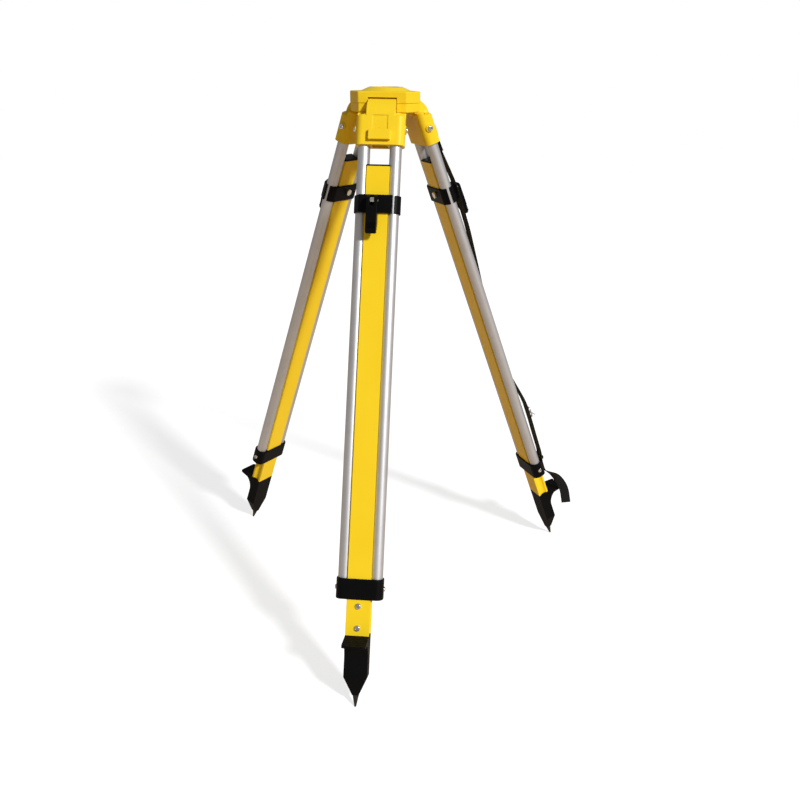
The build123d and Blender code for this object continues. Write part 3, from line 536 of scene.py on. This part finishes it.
def add_piece(name, vertices, faces, material, body):
    """A smooth mesh in the right leg's frame, which moves with a CAD body."""
    mesh = bpy.data.meshes.new(name)
    mesh.from_pydata(vertices, [], faces)
    mesh.materials.append(material)
    mesh.polygons.foreach_set("use_smooth", [True] * len(mesh.polygons))
    mesh.transform(leg_frame("right"))
    mesh.update()
    piece = bpy.data.objects.new(name, mesh)
    bpy.context.scene.collection.objects.link(piece)
    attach(piece, body)
    return piece


def add_strap(strap):
    """The webbing: a flat ribbon with thin woven edges."""
    vertices = []
    marks = []
    for point, across, outward, length in zip(strap.points, strap.across, strap.outward, strap.lengths):
        for face in (1, -1):
            for column in STRAP_COLUMNS[::face]:
                edge = 1 - STRAP_EDGE_LOSS * abs(column) ** STRAP_EDGE_POWER
                vertices.append(point + across * (column * STRAP_WIDTH / 2)
                                + outward * (face * edge * STRAP_THICKNESS / 2))
                marks.append((column * STRAP_WIDTH / 2, length))
    ring = 2 * len(STRAP_COLUMNS)
    last = len(vertices) - ring
    faces = [tuple(range(ring)), tuple(range(last + ring - 1, last - 1, -1))]
    for start in range(0, last, ring):
        for i in range(ring):
            after = (i + 1) % ring
            faces.append((start + i, start + ring + i, start + ring + after, start + after))
    piece = add_piece("carry_strap_webbing", vertices, faces, WEBBING, "right_upper_leg")
    layer = piece.data.uv_layers.new(name="UVMap")
    for loop in piece.data.loops:
        layer.data[loop.index].uv = marks[loop.vertex_index]
    return piece


STITCH_PITCH = 2.6 * MM
STITCH_LENGTH = 1.8 * MM
STITCH_WIDTH = 0.5 * MM
STITCH_FOOT = 0.42 * STRAP_THICKNESS      # sunk a little into the face of the webbing
STITCH_CROWN = 0.72 * STRAP_THICKNESS
STITCH_CROWN_SHARE = 0.6      # of the stitch's length
SEAM_START = 3 * MM
SEAM_END = 23 * MM
SEAM_HALF_WIDTH = 7.5 * MM


def add_stitches(strap):
    """The seam that holds the folded end: a box with a cross."""
    corners = [(SEAM_START, -SEAM_HALF_WIDTH), (SEAM_START, SEAM_HALF_WIDTH),
               (SEAM_END, SEAM_HALF_WIDTH), (SEAM_END, -SEAM_HALF_WIDTH)]
    seams = list(zip(corners, corners[1:] + corners[:1]))
    seams += [(corners[0], corners[2]), (corners[1], corners[3])]
    vertices = []
    faces = []
    for start, end in seams:
        run = math.dist(start, end)
        along = Vector(end) - Vector(start)
        along.normalize()
        aside = along.orthogonal()
        for i in range(int(run / STITCH_PITCH)):
            middle = Vector(start) + along * (i + 0.5) * STITCH_PITCH
            base = len(vertices)
            for ahead, side in ((-1, -1), (1, -1), (1, 1), (-1, 1)):
                place = middle + along * ahead * STITCH_LENGTH / 2 + aside * side * STITCH_WIDTH / 2
                vertices.append(strap.spot(place.x, place.y, STITCH_FOOT))
            for ahead in (-STITCH_CROWN_SHARE, STITCH_CROWN_SHARE):
                place = middle + along * ahead * STITCH_LENGTH / 2
                vertices.append(strap.spot(place.x, place.y, STITCH_CROWN))
            faces += [(base, base + 1, base + 5, base + 4), (base + 2, base + 3, base + 4, base + 5),
                      (base, base + 4, base + 3), (base + 1, base + 2, base + 5)]
    return add_piece("strap_stitches", vertices, faces, THREAD, "right_upper_leg")


strap = Strap(STRAP_ROUTE)
webbing = add_strap(strap)
stitches = add_stitches(strap)
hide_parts("carry_strap")


# Studio

FLOOR_SIZE = 14.0
FLOOR_SHADE = 0.5
FLOOR_GLOW = 0.72             # lifts the floor to white where the camera sees it
FLOOR_BOUNCE = (0.66, 0.44, 0.23, 1.0)    # warm light that the floor throws back up
FLOOR_MIRRORED = 0.3          # share of the floor's white in a shiny surface
FILL_LEVEL = 0.2
GLOSS_LEVEL = 0.36            # how bright the studio looks in a shiny surface
KEY_LEVEL = 3.3
KEY_SOFTNESS = 7.0            # degrees
KEY_SIDE = 46.0               # degrees to the right of the front leg
KEY_HEIGHT = 33.0             # degrees above the horizon


def grey(level):
    return level, level, level, 1.0


def ray_share(finish, kind):
    """1 for the rays of this kind, such as those from the camera, and 0 for the others."""
    return finish.node("ShaderNodeLightPath", output=f"Is {kind} Ray")


def add_floor():
    floor_finish = Finish("studio_floor", {
        "Roughness": 0.9, "Specular IOR Level": 0.1, "Emission Strength": 1.0})
    seen = (ray_share(floor_finish, "Camera") + ray_share(floor_finish, "Transmission")
            + FLOOR_MIRRORED * ray_share(floor_finish, "Glossy"))
    floor_finish.feed("Base Color", floor_finish.colour(seen, FLOOR_BOUNCE, grey(FLOOR_SHADE)))
    floor_finish.feed("Emission Color", floor_finish.colour(seen, grey(0.0), grey(FLOOR_GLOW)))
    bm = bmesh.new()
    bmesh.ops.create_grid(bm, x_segments=1, y_segments=1, size=FLOOR_SIZE / 2)
    mesh = bpy.data.meshes.new("studio_floor")
    bm.to_mesh(mesh)
    bm.free()
    mesh.materials.append(floor_finish.material)
    floor = bpy.data.objects.new("studio_floor", mesh)
    floor.location.z = cad_low.z
    bpy.context.scene.collection.objects.link(floor)


class WorldFinish(Finish):
    """The nodes of the world, whose one shader is its background."""

    def __init__(self, name):
        world = bpy.data.worlds.new(name)
        world.use_nodes = True
        self.tree = world.node_tree
        self.shader = self.tree.nodes["Background"]
        bpy.context.scene.world = world


def add_light():
    sky = WorldFinish("studio_white")
    seen = ray_share(sky, "Camera") + ray_share(sky, "Transmission")
    mirrored = ray_share(sky, "Glossy")
    sky.feed("Color", grey(1.0))
    sky.feed("Strength", FILL_LEVEL + (1 - FILL_LEVEL) * seen + (GLOSS_LEVEL - FILL_LEVEL) * mirrored)
    key = bpy.data.lights.new("key_light", "SUN")
    key.energy = KEY_LEVEL
    key.angle = math.radians(KEY_SOFTNESS)
    lamp = bpy.data.objects.new("key_light", key)
    side = math.radians(KEY_SIDE)
    height = math.radians(KEY_HEIGHT)
    towards = Vector((math.sin(side) * math.cos(height), -math.cos(side) * math.cos(height),
                      math.sin(height)))
    lamp.rotation_mode = "QUATERNION"
    lamp.rotation_quaternion = towards.to_track_quat("Z", "Y")
    bpy.context.scene.collection.objects.link(lamp)


# Camera, read from the photograph

CAMERA_PLACE = Vector((0.2237, -1.5950, 0.0465))
CAMERA_YAW = math.radians(-4.433)     # from +Y, to the left where it is negative
CAMERA_PITCH = math.radians(17.143)   # downwards
CAMERA_ROLL = math.radians(0.812)
IMAGE_WIDTH = 800
FOCAL_PIXELS = 870.64
MIDDLE_PIXEL = (438.73, 328.80)       # where the optical axis meets the image


def add_camera():
    forward = Vector((math.sin(CAMERA_YAW) * math.cos(CAMERA_PITCH),
                      math.cos(CAMERA_YAW) * math.cos(CAMERA_PITCH), -math.sin(CAMERA_PITCH)))
    level = Vector((math.cos(CAMERA_YAW), -math.sin(CAMERA_YAW), 0))
    upright = level.cross(forward)
    right = math.cos(CAMERA_ROLL) * level + math.sin(CAMERA_ROLL) * upright
    up = math.cos(CAMERA_ROLL) * upright - math.sin(CAMERA_ROLL) * level
    data = bpy.data.cameras.new("photo_camera")
    data.lens = FOCAL_PIXELS / IMAGE_WIDTH * data.sensor_width
    data.shift_x = 0.5 - MIDDLE_PIXEL[0] / IMAGE_WIDTH
    data.shift_y = MIDDLE_PIXEL[1] / IMAGE_WIDTH - 0.5
    camera = bpy.data.objects.new("photo_camera", data)
    turn = Matrix((right, up, -forward)).transposed()
    camera.matrix_world = Matrix.Translation(CAMERA_PLACE) @ turn.to_4x4()
    bpy.context.scene.collection.objects.link(camera)
    bpy.context.scene.camera = camera


add_floor()
add_light()
add_camera()
bpy.context.scene.view_settings.view_transform = "Standard"

bpy.context.view_layer.update()
